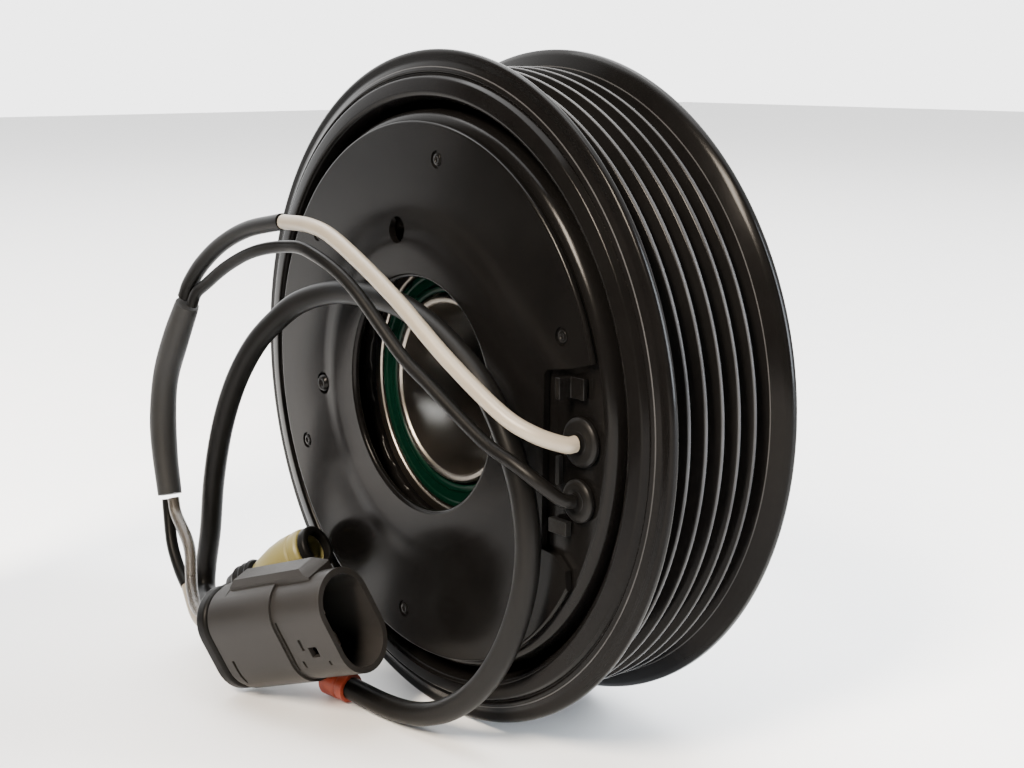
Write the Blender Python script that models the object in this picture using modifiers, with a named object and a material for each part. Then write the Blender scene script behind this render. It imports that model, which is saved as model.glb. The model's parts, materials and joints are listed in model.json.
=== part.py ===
"""Electromagnetic clutch of an air-conditioning compressor, seen from its coil side.

A ribbed belt pulley runs on a double-row bearing around a fixed field coil. The coil's
leads leave through two grommets and end in a sealed plug. An armature plate on a hub
sits in front of the pulley's friction face. The wheel stands on its rim: the axle is
along Y, the coil faces -Y, and the floor is at z = 0.
"""
import math

import bmesh
import bpy
from mathutils import Matrix, Vector

MM = 0.001
RIM_R = 58.0            # outer radius of both belt flanges
WHEEL_CENTRE = (0.0, -1.5, RIM_R)
WHEEL_STEPS = 48
SMALL_STEPS = 40

RIB_PITCH = 3.56        # standard pitch of a PK belt
RIB_COUNT = 6
CREST_R = 55.1
VALLEY_R = 52.15
CREST_HALF = 0.35
FRICTION_Y = 13.9       # front face of the rotor

BEARING_BORE_R = 15.0
BEARING_OUTER_R = 23.5
BEARING_HALF = 11.0
RACE_IN_R = 16.5
RACE_OUT_R = 21.4
BALL_R = 2.1
BALL_PITCH_R = 18.95
BALLS_PER_ROW = 8
BALL_ROW_Y = 4.8

SHELL_R = 48.2
SHELL_BORE_R = 28.4
SHELL_REAR_Y = -16.0
SHELL_FRONT_Y = 8.6

PLATE_R = 46.4
PLATE_HOLE_R = 20.2
PLATE_FRONT_Y = -16.3
PLATE_REAR_Y = -17.4
PLATE_BOSS_Y = -17.7
CLINCH_R = 40.6
CLINCH_ANGLES = (82.0, 22.0, -98.0, -158.0, 142.0)
PLATE_NOTCH = [(33.6, 8.8), (34.2, 9.6), (39.8, 10.6), (52.0, 14.0), (52.0, -25.2),
               (39.2, -25.2), (38.9, -21.6), (36.5, -19.7), (33.0, -19.4)]

GROMMETS = {"grommet_upper": (41.5, -0.6, 3.9), "grommet_lower": (41.0, -9.9, 3.4)}
GROMMET_FACE_Y = -17.4
PIN_XZ = (-31.2, -3.0)

ARMATURE_GAP = 0.5
ARMATURE_REAR_Y = FRICTION_Y + ARMATURE_GAP
ARMATURE_FRONT_Y = 17.8
LEAF_Y = (18.2, 18.7)
HUB_FLANGE_Y = (19.1, 21.0)
HUB_NOSE_Y = 22.5
LEAF_COUNT = 3
LEAF_INNER_R = 22.5
LEAF_OUTER_R = 41.0
LEAF_SWEEP = 38.0       # degrees from a hub rivet to its armature rivet

PLUG_MOUTH = (-2.3, -30.2, -38.5)
PLUG_AXIS = (0.917, 0.250, 0.311)
PLUG_TALL = (-0.215, -0.348, 0.913)
PLUG_LENGTH = 29.0
PLUG_RAIL = [(-1.6, 6.0), (4.4, 6.0), (4.4, 10.2), (3.4, 11.5), (-0.6, 11.5), (-1.6, 10.6)]
SEAL_LENGTH = 3.0

SOCKET_REAR = (-39.5, -27.1, -41.0)
SOCKET_AXIS = (0.764, 0.395, 0.510)
SOCKET_PROFILE = [(4.2, 13.0), (4.6, 12.4), (4.6, 8.0), (4.2, 5.0), (3.4, 2.0), (2.8, 0.0),
                  (0.0, 0.0), (0.0, 9.0), (3.2, 9.0), (3.2, 13.0)]
BAND_PROFILE = [(3.9, 15.0), (4.3, 14.6), (4.3, 13.3), (2.9, 13.3), (2.9, 15.0)]
SEAL_PROFILE = [(3.4, -0.3), (3.9, -1.0), (3.4, -1.8), (3.9, -2.6), (3.4, -3.4), (3.9, -4.2),
                (3.4, -5.0), (3.0, -7.0), (0.0, -7.0), (0.0, -0.3)]

LEAD_WHITE_R = 1.3
LEAD_BLACK_R = 1.1
SLEEVE_R = 1.5
SHRINK_R = 2.7
TAIL_R = 1.15
CABLE_R = 2.1
ROUTE_STEPS = 2         # straight pieces between two points of a route

LEAD_WHITE_ROUTE = [(41.4, -17.7, -0.7), (41.0, -19.6, -0.6), (38.1, -23.2, 1.0),
                    (32.8, -25.4, 3.7), (21.4, -27.0, 10.5), (7.9, -28.2, 19.3),
                    (-6.2, -29.3, 26.6), (-13.4, -29.9, 28.6), (-21.7, -30.5, 28.7)]
SLEEVE_ROUTE = [(-22.0, -30.5, 28.7), (-32.6, -31.4, 26.6), (-41.0, -32.2, 23.3),
                (-47.6, -33.0, 19.0), (-51.7, -33.6, 14.9), (-53.3, -33.9, 12.2)]
LEAD_BLACK_ROUTE = [(41.0, -17.7, -9.8), (40.6, -19.8, -9.2), (38.2, -22.6, -6.4),
                    (34.5, -24.0, -4.2), (27.7, -25.0, -1.6), (15.1, -26.2, 5.4),
                    (8.3, -26.7, 9.2), (-4.9, -27.8, 19.3), (-16.0, -28.9, 23.9),
                    (-23.7, -29.5, 24.1), (-32.1, -30.8, 22.5), (-40.2, -31.8, 19.2),
                    (-46.9, -32.8, 15.2), (-49.5, -33.5, 13.3), (-50.9, -33.8, 10.9)]
SHRINK_ROUTE = [(-52.6, -33.9, 10.9), (-56.5, -34.6, 4.0), (-60.4, -35.2, -4.0),
                (-61.2, -35.8, -11.9), (-59.9, -36.4, -19.2), (-57.3, -37.0, -26.9)]
TAIL_BLACK_ROUTE = [(-58.3, -37.0, -28.1), (-57.4, -37.3, -31.4), (-54.9, -38.1, -36.4),
                    (-51.2, -38.6, -40.4), (-48.1, -38.9, -42.6)]
TAIL_WHITE_ROUTE = [(-47.9, -38.9, -42.8), (-42.0, -40.2, -46.6), (-36.9, -40.5, -47.3),
                    (-33.3, -39.5, -46.1)]
TAIL_CLEAR_ROUTE = [(-55.9, -37.0, -27.4), (-54.4, -37.2, -30.4), (-47.9, -38.0, -35.2),
                    (-42.3, -40.6, -41.6), (-37.6, -41.6, -44.3), (-34.0, -40.6, -43.1)]
CABLE_ROUTE = [(-45.2, -30.0, -44.8), (-47.5, -31.2, -46.3), (-52.0, -31.9, -48.3),
               (-56.0, -30.9, -47.2), (-57.2, -29.9, -42.8), (-55.3, -29.6, -35.0),
               (-53.3, -29.4, -24.2), (-49.9, -29.0, -13.4), (-45.5, -28.2, -4.1),
               (-40.2, -27.0, 3.5), (-34.6, -25.6, 8.8), (-27.7, -23.8, 13.4),
               (-17.0, -22.0, 16.2), (-2.7, -21.3, 16.2), (6.0, -21.2, 14.4),
               (14.3, -21.2, 11.1), (22.3, -21.2, 6.3), (27.4, -21.2, 1.0),
               (30.9, -21.2, -4.8), (33.4, -21.2, -11.0), (34.4, -21.2, -18.5),
               (33.2, -21.4, -26.9), (29.1, -21.6, -36.4), (22.9, -22.0, -44.8),
               (15.3, -22.6, -50.9), (7.3, -23.2, -54.4), (-0.7, -24.0, -55.6),
               (-11.0, -25.3, -55.2)]
COLLAR_ENDS = ((-11.3, -25.3, -55.2), (-17.6, -26.3, -55.1))


# ---------------------------------------------------------------- scene set-up

def clear_scene():
    for obj in list(bpy.data.objects):
        bpy.data.objects.remove(obj, do_unlink=True)


def new_collection(name):
    collection = bpy.data.collections.new(name)
    bpy.context.scene.collection.children.link(collection)
    return collection


def make_material(name, colour, roughness, metallic):
    material = bpy.data.materials.new(name)
    material.use_nodes = True
    shader = material.node_tree.nodes["Principled BSDF"]
    shader.inputs["Base Color"].default_value = (*colour, 1.0)
    shader.inputs["Roughness"].default_value = roughness
    shader.inputs["Metallic"].default_value = metallic
    material.diffuse_color = (*colour, 1.0)
    return material


def add_empty(name, location, parent=None):
    empty = bpy.data.objects.new(name, None)
    empty.empty_display_size = 0.02
    parts.objects.link(empty)
    empty.parent = parent
    empty.location = [v * MM for v in location]
    return empty


def add_object(name, data, material, parent, collection=None):
    obj = bpy.data.objects.new(name, data)
    (collection or parts).objects.link(obj)
    obj.parent = parent
    if material is not None:
        data.materials.append(material)
    return obj


# ---------------------------------------------------------------- shape helpers

def lathe(name, profile, material, parent, steps=WHEEL_STEPS):
    """Turned body about the wheel's axle from (radius, y) points, outer side front to rear."""
    mesh = bpy.data.meshes.new(name)
    verts = [(r * MM, 0.0, y * MM) for r, y in profile]
    count = len(verts)
    mesh.from_pydata(verts, [(i, (i + 1) % count) for i in range(count)], [])
    obj = add_object(name, mesh, material, parent)
    obj.rotation_euler = (-math.pi / 2, 0.0, 0.0)
    screw = obj.modifiers.new("turned", "SCREW")
    screw.axis = "Z"
    screw.steps = steps
    screw.render_steps = steps
    screw.use_merge_vertices = True
    screw.merge_threshold = 0.00001
    screw.use_smooth_shade = True
    return obj


def prism(name, outline, low, high, material, parent, collection=None):
    """Solid between y = low and y = high from an outline of (x, z) points."""
    mesh = bpy.data.meshes.new(name)
    bm = bmesh.new()
    ring = [bm.verts.new((x * MM, low * MM, z * MM)) for x, z in outline]
    face = bm.faces.new(ring)
    grown = bmesh.ops.extrude_face_region(bm, geom=[face])
    moved = [v for v in grown["geom"] if isinstance(v, bmesh.types.BMVert)]
    bmesh.ops.translate(bm, vec=(0.0, (high - low) * MM, 0.0), verts=moved)
    bmesh.ops.recalc_face_normals(bm, faces=bm.faces)
    bm.to_mesh(mesh)
    bm.free()
    return add_object(name, mesh, material, parent, collection)


def polar(radius, degrees):
    angle = math.radians(degrees)
    return radius * math.cos(angle), radius * math.sin(angle)


def arc_outline(inner, outer, start, end, steps):
    angles = [start + (end - start) * i / steps for i in range(steps + 1)]
    return [polar(outer, a) for a in angles] + [polar(inner, a) for a in reversed(angles)]


def circle_outline(x, z, radius, steps=20):
    return [(x + radius * math.cos(2 * math.pi * i / steps),
             z + radius * math.sin(2 * math.pi * i / steps)) for i in range(steps)]


def stadium_outline(half_long, half_short, steps=8):
    straight = half_long - half_short
    points = []
    for side, start in ((1, 0.0), (-1, math.pi)):
        for i in range(steps + 1):
            angle = start + math.pi * i / steps
            points.append((half_short * math.cos(angle),
                           side * straight + half_short * math.sin(angle)))
    return points


def boolean(obj, other, operation):
    modifier = obj.modifiers.new(operation.lower(), "BOOLEAN")
    modifier.operation = operation
    modifier.solver = "EXACT"
    modifier.object = other
    other.display_type = "WIRE"
    other.hide_render = True


def cut(obj, name, outline, low, high):
    boolean(obj, prism(name, outline, low, high, None, obj.parent, cutters), "DIFFERENCE")


def turned_rod(name, centre, sections, material, parent, steps=20):
    """Stepped round pin along Y; sections are (radius, y) from front to rear."""
    obj = lathe(name, [(0.0, sections[0][1])] + sections + [(0.0, sections[-1][1])],
                material, parent, steps)
    obj.location = (centre[0] * MM, 0.0, centre[1] * MM)
    return obj


def smooth_route(points):
    """Points along a Catmull-Rom curve through the route."""
    pts = [Vector(p) for p in points]
    pts = [2 * pts[0] - pts[1]] + pts + [2 * pts[-1] - pts[-2]]
    result = []
    for i in range(1, len(pts) - 2):
        a, b, c, d = pts[i - 1:i + 3]
        for k in range(ROUTE_STEPS):
            t = k / ROUTE_STEPS
            result.append(0.5 * (2 * b + (c - a) * t + (2 * a - 5 * b + 4 * c - d) * t * t
                                 + (3 * b - a - 3 * c + d) * t ** 3))
    result.append(pts[-2])
    return result


def cord(name, route, radius, material, parent):
    curve = bpy.data.curves.new(name, "CURVE")
    curve.dimensions = "3D"
    curve.bevel_depth = radius * MM
    curve.bevel_resolution = 2
    curve.use_fill_caps = True
    points = smooth_route(route)
    spline = curve.splines.new("POLY")
    spline.points.add(len(points) - 1)
    for slot, point in zip(spline.points, points):
        slot.co = (*(point * MM), 1.0)
    spline.use_smooth = True
    return add_object(name, curve, material, parent)


def axis_frame(origin, x_axis, z_axis):
    """Matrix with local X and Z along the given directions, in millimetres."""
    x = Vector(x_axis).normalized()
    y = Vector(z_axis).cross(x).normalized()
    z = x.cross(y)
    matrix = Matrix((x, y, z)).transposed().to_4x4()
    matrix.translation = Vector(origin) * MM
    return matrix


def along_x(name, outline, start, end, material, frame, parent, collection=None):
    """Prism of a (y, z) outline from x = start to x = end in the given frame."""
    obj = prism(name, outline, -end, -start, material, parent, collection)
    obj.matrix_local = frame @ Matrix.Rotation(math.pi / 2, 4, "Z")
    return obj


# ---------------------------------------------------------------- pulley and bearing

def groove_points():
    """Belt grooves from the front flange to the rear flange."""
    points = []
    for i in range(RIB_COUNT):
        centre = (RIB_COUNT - 1) * RIB_PITCH / 2 - i * RIB_PITCH
        half = RIB_PITCH / 2 - CREST_HALF
        points += [(CREST_R, centre + half), (VALLEY_R, centre + CREST_HALF),
                   (VALLEY_R, centre - CREST_HALF), (CREST_R, centre - half)]
    return points


def build_rotor(spin):
    front = [(49.6, FRICTION_Y), (50.0, 13.3), (54.6, 13.3), (55.4, 14.3), (57.2, 14.1),
             (58.0, 13.3), (58.0, 12.2), (57.2, 11.5)]
    rear = [(57.2, -11.5), (58.0, -12.2), (58.0, -13.2), (57.4, -13.6), (56.1, -13.5),
            (54.4, -14.5), (54.0, -14.1), (53.4, -15.2), (51.0, -15.6), (50.3, -15.3),
            (49.6, -13.6)]
    inside = [(49.6, 9.4), (27.6, 9.4), (27.2, 9.0), (27.2, -11.6), (26.6, -12.2),
              (24.6, -12.2), (23.8, -11.6), (23.8, 11.4), (21.9, 11.4), (21.9, 13.0),
              (30.0, 13.0), (30.6, FRICTION_Y)]
    rotor = lathe("rotor_pulley", front + groove_points() + rear + inside, paint, spin)
    for i in range(4):
        start = 90.0 * i + 10.0
        cut(rotor, f"cut_flux_slot_{i + 1}", arc_outline(38.6, 41.0, start, start + 70.0, 8),
            8.0, 15.0)


def ring_profile(outer, inner, half, chamfer):
    return [(outer - chamfer, half), (outer, half - chamfer), (outer, chamfer - half),
            (outer - chamfer, -half), (inner + chamfer, -half), (inner, chamfer - half),
            (inner, half - chamfer), (inner + chamfer, half)]


def build_ball_row(name, y, parent):
    """One row of balls joined by its cage ring into a single body."""
    cage = lathe(name, [(19.9, y + 0.9), (19.9, y - 0.9), (18.0, y - 0.9), (18.0, y + 0.9)],
                 steel, parent, 32)
    for i in range(BALLS_PER_ROW):
        mesh = bpy.data.meshes.new(f"add_{name}_{i + 1}")
        bm = bmesh.new()
        bmesh.ops.create_uvsphere(bm, u_segments=8, v_segments=6, radius=BALL_R * MM)
        bm.to_mesh(mesh)
        bm.free()
        ball = add_object(mesh.name, mesh, None, parent, cutters)
        x, z = polar(BALL_PITCH_R, 360.0 * i / BALLS_PER_ROW)
        ball.location = (x * MM, y * MM, z * MM)
        boolean(cage, ball, "UNION")


def build_bearing(fixed, spin, cage):
    lathe("bearing_inner_ring", ring_profile(RACE_IN_R, BEARING_BORE_R, BEARING_HALF, 0.4),
          steel, fixed, SMALL_STEPS)
    lathe("bearing_outer_ring", ring_profile(BEARING_OUTER_R, RACE_OUT_R, BEARING_HALF, 0.3),
          steel, spin)
    for name, y in (("seal_rear", -10.2), ("seal_front", 10.2)):
        lathe(name, [(21.05, y + 0.4), (21.05, y - 0.4), (16.95, y - 0.4), (16.95, y + 0.4)],
              green_rubber, spin, SMALL_STEPS)
    build_ball_row("ball_row_rear", -BALL_ROW_Y, cage)
    build_ball_row("ball_row_front", BALL_ROW_Y, cage)


# ---------------------------------------------------------------- field coil

def build_coil(fixed):
    shell = lathe("coil_shell",
                  [(SHELL_R, SHELL_FRONT_Y), (SHELL_R, -14.4), (47.6, -15.5),
                   (46.6, SHELL_REAR_Y), (29.6, SHELL_REAR_Y), (28.7, -15.6),
                   (SHELL_BORE_R, -14.6), (SHELL_BORE_R, SHELL_FRONT_Y),
                   (30.6, SHELL_FRONT_Y), (30.6, -14.0), (46.0, -14.0),
                   (46.0, SHELL_FRONT_Y)], paint, fixed)
    for name, (x, z, radius) in GROMMETS.items():
        cut(shell, f"cut_shell_{name}", circle_outline(x, z, 2.2, 16), -17.0, -13.0)
        turned_rod(name, (x, z), [(1.9, -14.2), (1.9, -16.3), (radius, -16.3),
                                  (radius, -17.0), (radius - 0.5, GROMMET_FACE_Y)],
                   rubber, fixed)
    lathe("coil_potting", [(45.7, 8.2), (45.7, -13.7), (30.9, -13.7), (30.9, 8.2),
                           (32.9, 8.2), (32.9, -11.0), (43.7, -11.0), (43.7, 8.2)],
          resin, fixed)
    lathe("coil_winding", [(43.4, 4.6), (43.4, -10.7), (33.2, -10.7), (33.2, 4.6)],
          copper, fixed)
    lathe("coil_cover_ring", [(43.4, 8.2), (43.4, 4.9), (33.2, 4.9), (33.2, 8.2)],
          resin, fixed)


def build_plate(fixed):
    plate = lathe("mounting_plate",
                  [(46.1, PLATE_FRONT_Y), (PLATE_R, -16.6), (PLATE_R, -17.1),
                   (46.1, PLATE_REAR_Y), (31.0, PLATE_REAR_Y), (26.5, PLATE_BOSS_Y),
                   (20.5, PLATE_BOSS_Y), (PLATE_HOLE_R, -17.4), (PLATE_HOLE_R, -16.6),
                   (20.5, PLATE_FRONT_Y)], paint, fixed)
    cut(plate, "cut_notch", PLATE_NOTCH, -19.0, -15.0)
    x, z = polar(28.4, 102.0)
    cut(plate, "cut_locating_hole", circle_outline(x, z, 2.3), -19.0, -15.0)
    cut(plate, "cut_pin_hole", circle_outline(*PIN_XZ, 2.1), -19.0, -15.0)
    for i, angle in enumerate(CLINCH_ANGLES):
        x, z = polar(CLINCH_R, angle)
        cut(plate, f"cut_clinch_{i + 1}", circle_outline(x, z, 1.5, 12), -19.0, -17.0)
    turned_rod("anti_rotation_pin", PIN_XZ, [(1.6, -16.3), (1.6, -17.5), (1.2, -17.9)],
               paint, fixed, 16)
    tab = prism("lead_tab", [(38.6, 6.0), (42.6, 6.0), (42.6, 9.4), (38.6, 9.4)],
                -17.2, -16.3, paint, fixed)
    upright = prism("add_tab_upright", [(38.6, 6.0), (39.7, 6.0), (39.7, 9.4), (38.6, 9.4)],
                    -19.5, -16.6, None, fixed, cutters)
    boolean(tab, upright, "UNION")
    prism("lead_post", [(36.2, -8.2), (37.0, -8.2), (37.0, -3.6), (36.2, -3.6)],
          -17.3, -16.3, resin, fixed)
    prism("lead_block", [(34.8, -16.0), (39.0, -16.0), (39.0, -13.7), (34.8, -13.7)],
          -17.5, -16.3, resin, fixed)


# ---------------------------------------------------------------- hub and armature

def build_hub(spin):
    hub = lathe("hub", [(10.0, HUB_NOSE_Y), (10.5, 22.0), (10.5, HUB_FLANGE_Y[1]),
                        (28.0, HUB_FLANGE_Y[1]), (28.0, HUB_FLANGE_Y[0]),
                        (11.0, HUB_FLANGE_Y[0]), (9.0, 17.0), (9.0, 9.6), (5.5, 9.6),
                        (5.5, HUB_NOSE_Y)], paint, spin, 36)
    for i in range(LEAF_COUNT):
        x, z = polar(LEAF_INNER_R, 90.0 + 120.0 * i)
        cut(hub, f"cut_hub_rivet_{i + 1}", circle_outline(x, z, 2.5, 16), 18.0, 22.0)
        turned_rod(f"hub_rivet_{i + 1}", (x, z),
                   [(3.2, 22.3), (3.8, 21.9), (3.8, 21.3), (2.2, 21.3), (2.2, 17.4),
                    (3.6, 17.4), (3.6, 16.6)], steel, spin, 16)


def leaf_outline(start, end, half):
    """Bar with round ends around two rivet centres."""
    heading = math.atan2(end[1] - start[1], end[0] - start[0])
    points = []
    for centre, first in ((end, heading - math.pi / 2), (start, heading + math.pi / 2)):
        for i in range(9):
            angle = first + math.pi * i / 8
            points.append((centre[0] + half * math.cos(angle),
                           centre[1] + half * math.sin(angle)))
    return points


def build_armature(parent):
    plate = lathe("armature_plate",
                  [(49.6, ARMATURE_FRONT_Y), (50.0, 17.4), (50.0, ARMATURE_REAR_Y),
                   (31.5, ARMATURE_REAR_Y), (31.5, ARMATURE_FRONT_Y)], steel_dark, parent)
    for i in range(LEAF_COUNT):
        inner = polar(LEAF_INNER_R, 90.0 + 120.0 * i)
        angle = 90.0 + 120.0 * i + LEAF_SWEEP
        outer = polar(LEAF_OUTER_R, angle)
        cut(plate, f"cut_armature_slot_{i + 1}",
            arc_outline(43.8, 45.6, angle + 15.0, angle + 105.0, 8), 13.0, 19.0)
        cut(plate, f"cut_armature_rivet_{i + 1}", circle_outline(*outer, 2.5, 16), 13.0, 19.0)
        leaf = prism(f"leaf_spring_{i + 1}", leaf_outline(inner, outer, 5.0), *LEAF_Y,
                     steel, parent)
        cut(leaf, f"cut_leaf_inner_{i + 1}", circle_outline(*inner, 2.6, 16), 17.0, 20.0)
        cut(leaf, f"cut_leaf_outer_{i + 1}", circle_outline(*outer, 2.5, 16), 17.0, 20.0)
        turned_rod(f"armature_rivet_{i + 1}", outer,
                   [(3.0, 20.2), (3.6, 19.8), (3.6, 19.0), (2.2, 19.0), (2.2, 14.8)],
                   steel, parent, 16)


# ---------------------------------------------------------------- plugs and cords

def build_plug(fixed):
    """Round-ended plug whose rear is stepped up, with a latch rail along its top."""
    frame = axis_frame(PLUG_MOUTH, PLUG_AXIS, PLUG_TALL)
    housing = along_x("plug_housing", stadium_outline(9.7, 6.3), -PLUG_LENGTH, 0.0,
                      plastic_grey, frame, fixed)
    for name, outline, start, end in (
            ("add_plug_collar", stadium_outline(10.2, 6.8), -27.6, -12.0),
            ("add_plug_rail", PLUG_RAIL, -24.0, -3.6)):
        boolean(housing, along_x(name, outline, start, end, None, frame, fixed, cutters),
                "UNION")
    mouth = along_x("cut_plug_mouth", stadium_outline(8.6, 5.2), -16.0, 2.0,
                    None, frame, fixed, cutters)
    boolean(housing, mouth, "DIFFERENCE")
    along_x("plug_rear_seal", stadium_outline(10.0, 6.6), -PLUG_LENGTH - 0.3 - SEAL_LENGTH,
            -PLUG_LENGTH - 0.3, rubber, frame, fixed)
    for i, z in enumerate((-3.2, 3.2)):
        blade = [(-0.4, z - 1.4), (0.4, z - 1.4), (0.4, z + 1.4), (-0.4, z + 1.4)]
        along_x(f"plug_terminal_{i + 1}", blade, -15.7, -6.0, steel, frame, fixed)


def build_rear_socket(fixed):
    frame = axis_frame(SOCKET_REAR, SOCKET_AXIS, (0.0, 0.0, 1.0))
    turned = (("rear_socket", plastic_yellow, SOCKET_PROFILE),
              ("rear_socket_band", rubber, BAND_PROFILE),
              ("rear_socket_seal", rubber, SEAL_PROFILE))
    for name, material, profile in turned:
        piece = lathe(name, profile, material, fixed, 24)
        piece.matrix_local = frame @ Matrix.Rotation(math.pi / 2, 4, "Y")
    start, end = (Vector(p) for p in COLLAR_ENDS)
    length = (end - start).length
    collar = lathe("cable_collar", [(2.4, length), (2.7, length - 0.4), (2.7, 0.0),
                                    (0.0, 0.0), (0.0, length)], plastic_red, fixed, 20)
    turn = (end - start).to_track_quat("Z", "Y").to_matrix().to_4x4()
    collar.matrix_local = Matrix.Translation(start * MM) @ turn


def build_cords(fixed):
    cord("lead_white", LEAD_WHITE_ROUTE, LEAD_WHITE_R, wire_white, fixed)
    cord("lead_white_sleeve", SLEEVE_ROUTE, SLEEVE_R, rubber, fixed)
    cord("lead_black", LEAD_BLACK_ROUTE, LEAD_BLACK_R, rubber, fixed)
    cord("splice_heatshrink", SHRINK_ROUTE, SHRINK_R, rubber, fixed)
    cord("tail_black", TAIL_BLACK_ROUTE, TAIL_R, rubber, fixed)
    cord("tail_white", TAIL_WHITE_ROUTE, TAIL_R - 0.1, wire_white, fixed)
    cord("tail_clear", TAIL_CLEAR_ROUTE, TAIL_R, wire_clear, fixed)
    cord("harness_cable", CABLE_ROUTE, CABLE_R, rubber, fixed)


clear_scene()
parts = new_collection("electromagnetic_clutch")
cutters = new_collection("cutters")

paint = make_material("black_paint", (0.012, 0.012, 0.013), 0.28, 0.0)
steel = make_material("bearing_steel", (0.55, 0.55, 0.56), 0.25, 1.0)
steel_dark = make_material("armature_steel", (0.16, 0.16, 0.17), 0.4, 1.0)
green_rubber = make_material("seal_green", (0.01, 0.16, 0.09), 0.4, 0.0)
copper = make_material("copper_wire", (0.72, 0.32, 0.14), 0.35, 1.0)
resin = make_material("coil_resin", (0.03, 0.03, 0.03), 0.5, 0.0)
rubber = make_material("black_rubber", (0.02, 0.02, 0.02), 0.55, 0.0)
plastic_grey = make_material("grey_plastic", (0.06, 0.06, 0.062), 0.45, 0.0)
plastic_yellow = make_material("yellow_plastic", (0.62, 0.58, 0.33), 0.45, 0.0)
plastic_red = make_material("red_plastic", (0.6, 0.09, 0.03), 0.45, 0.0)
wire_white = make_material("ivory_wire", (0.83, 0.81, 0.76), 0.4, 0.0)
wire_clear = make_material("clear_splice", (0.55, 0.54, 0.5), 0.3, 0.0)

stator = add_empty("stator", WHEEL_CENTRE)
pulley_axis = add_empty("pulley_axis", (0.0, 0.0, 0.0), stator)
cage_axis = add_empty("cage_axis", (0.0, 0.0, 0.0), stator)
hub_axis = add_empty("hub_axis", (0.0, 0.0, 0.0), stator)
armature_slide = add_empty("armature_slide", (0.0, 0.0, 0.0), hub_axis)

build_rotor(pulley_axis)
build_bearing(stator, pulley_axis, cage_axis)
build_coil(stator)
build_plate(stator)
build_hub(hub_axis)
build_armature(armature_slide)
build_plug(stator)
build_rear_socket(stator)
build_cords(stator)
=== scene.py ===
"""Looks of the electromagnetic clutch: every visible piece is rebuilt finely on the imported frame."""
import json
import math

import bmesh
import bpy
from mathutils import Matrix, Vector


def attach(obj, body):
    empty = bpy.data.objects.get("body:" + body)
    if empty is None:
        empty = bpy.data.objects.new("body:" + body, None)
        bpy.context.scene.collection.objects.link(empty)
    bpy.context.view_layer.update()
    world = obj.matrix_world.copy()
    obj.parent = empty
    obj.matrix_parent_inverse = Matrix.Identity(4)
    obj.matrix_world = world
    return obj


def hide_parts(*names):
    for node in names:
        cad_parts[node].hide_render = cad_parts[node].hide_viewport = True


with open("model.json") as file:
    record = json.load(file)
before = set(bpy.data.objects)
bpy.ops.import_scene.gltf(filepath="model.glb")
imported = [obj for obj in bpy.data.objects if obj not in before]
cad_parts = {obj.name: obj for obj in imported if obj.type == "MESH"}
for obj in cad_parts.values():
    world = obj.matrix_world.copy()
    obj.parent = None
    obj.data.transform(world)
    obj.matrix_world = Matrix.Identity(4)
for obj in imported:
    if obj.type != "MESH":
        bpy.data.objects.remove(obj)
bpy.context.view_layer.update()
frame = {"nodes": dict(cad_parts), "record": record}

MM = 0.001
RIM_R = 58.0
CENTRE = Vector((0.0, -1.5, RIM_R))     # wheel centre in millimetres
WHEEL_STEPS = 216
SMALL_STEPS = 64

RIB_PITCH = 3.56
RIB_COUNT = 6
CREST_R = 55.1
VALLEY_R = 52.15
CREST_HALF = 0.35
FRICTION_Y = 13.9

STAKE_MARKS = 24                        # punch marks that hold the bearing
STAKE_DEPTH = 0.45
STAKE_BAND = (23.7, 25.6)
STAKE_FROM_Y = -11.4

BEARING_BORE_R = 15.0
BEARING_OUTER_R = 23.5
BEARING_HALF = 11.0
RACE_IN_R = 16.5
RACE_OUT_R = 21.4
SHELL_R = 48.2
PLATE_R = 46.4
PLATE_HOLE_R = 20.2
PLATE_FRONT_Y = -16.3
PLATE_REAR_Y = -17.4
PLATE_BOSS_Y = -17.7
CLINCH_R = 40.6
CLINCH_HOLE_R = 1.5
CLINCH_FLOOR_Y = -17.08
CLINCH_ANGLES = (82.0, 22.0, -98.0, -158.0, 142.0)
PLATE_NOTCH = [(33.6, 8.8), (34.2, 9.6), (39.8, 10.6), (52.0, 14.0), (52.0, -25.2),
               (39.2, -25.2), (38.9, -21.6), (36.5, -19.7), (33.0, -19.4)]
GROMMETS = {"grommet_upper": (41.5, -0.6, 3.9), "grommet_lower": (41.0, -9.9, 3.4)}
PIN_XZ = (-31.2, -3.0)

LEAF_COUNT = 3
LEAF_INNER_R = 22.5
LEAF_OUTER_R = 41.0
LEAF_SWEEP = 38.0

PLUG_MOUTH = (-2.3, -30.2, -38.5)
PLUG_AXIS = (0.917, 0.250, 0.311)
PLUG_TALL = (-0.215, -0.348, 0.913)
PLUG_LENGTH = 29.0
PLUG_RAIL = [(-1.6, 6.0), (4.4, 6.0), (4.4, 10.2), (3.4, 11.5), (-0.6, 11.5), (-1.6, 10.6)]
# moulded slots in the plug's side: low, high, and start and end along the plug
PLUG_MARKS = [(-5.2, 4.6, -11.6, -11.0), (-4.8, -3.4, -9.6, -9.0), (-1.4, 0.8, -8.2, -7.5),
              (-4.9, -3.9, -3.4, -2.8), (-7.4, -1.4, -26.4, -25.8)]
SEAL_LENGTH = 3.0
SOCKET_REAR = (-39.5, -27.1, -41.0)
SOCKET_AXIS = (0.764, 0.395, 0.510)
SOCKET_PROFILE = [(0.0, 0.0), (2.8, 0.0), (3.4, 2.0), (4.2, 5.0), (4.6, 8.0), (4.6, 10.2),
                  (4.35, 10.4), (4.35, 10.9), (4.6, 11.1), (4.6, 12.4), (4.2, 13.0),
                  (3.2, 13.0), (3.2, 9.0), (0.0, 9.0)]
BAND_PROFILE = [(4.3, 13.3), (4.3, 14.6), (3.9, 15.0), (2.9, 15.0), (2.9, 13.3)]
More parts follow.
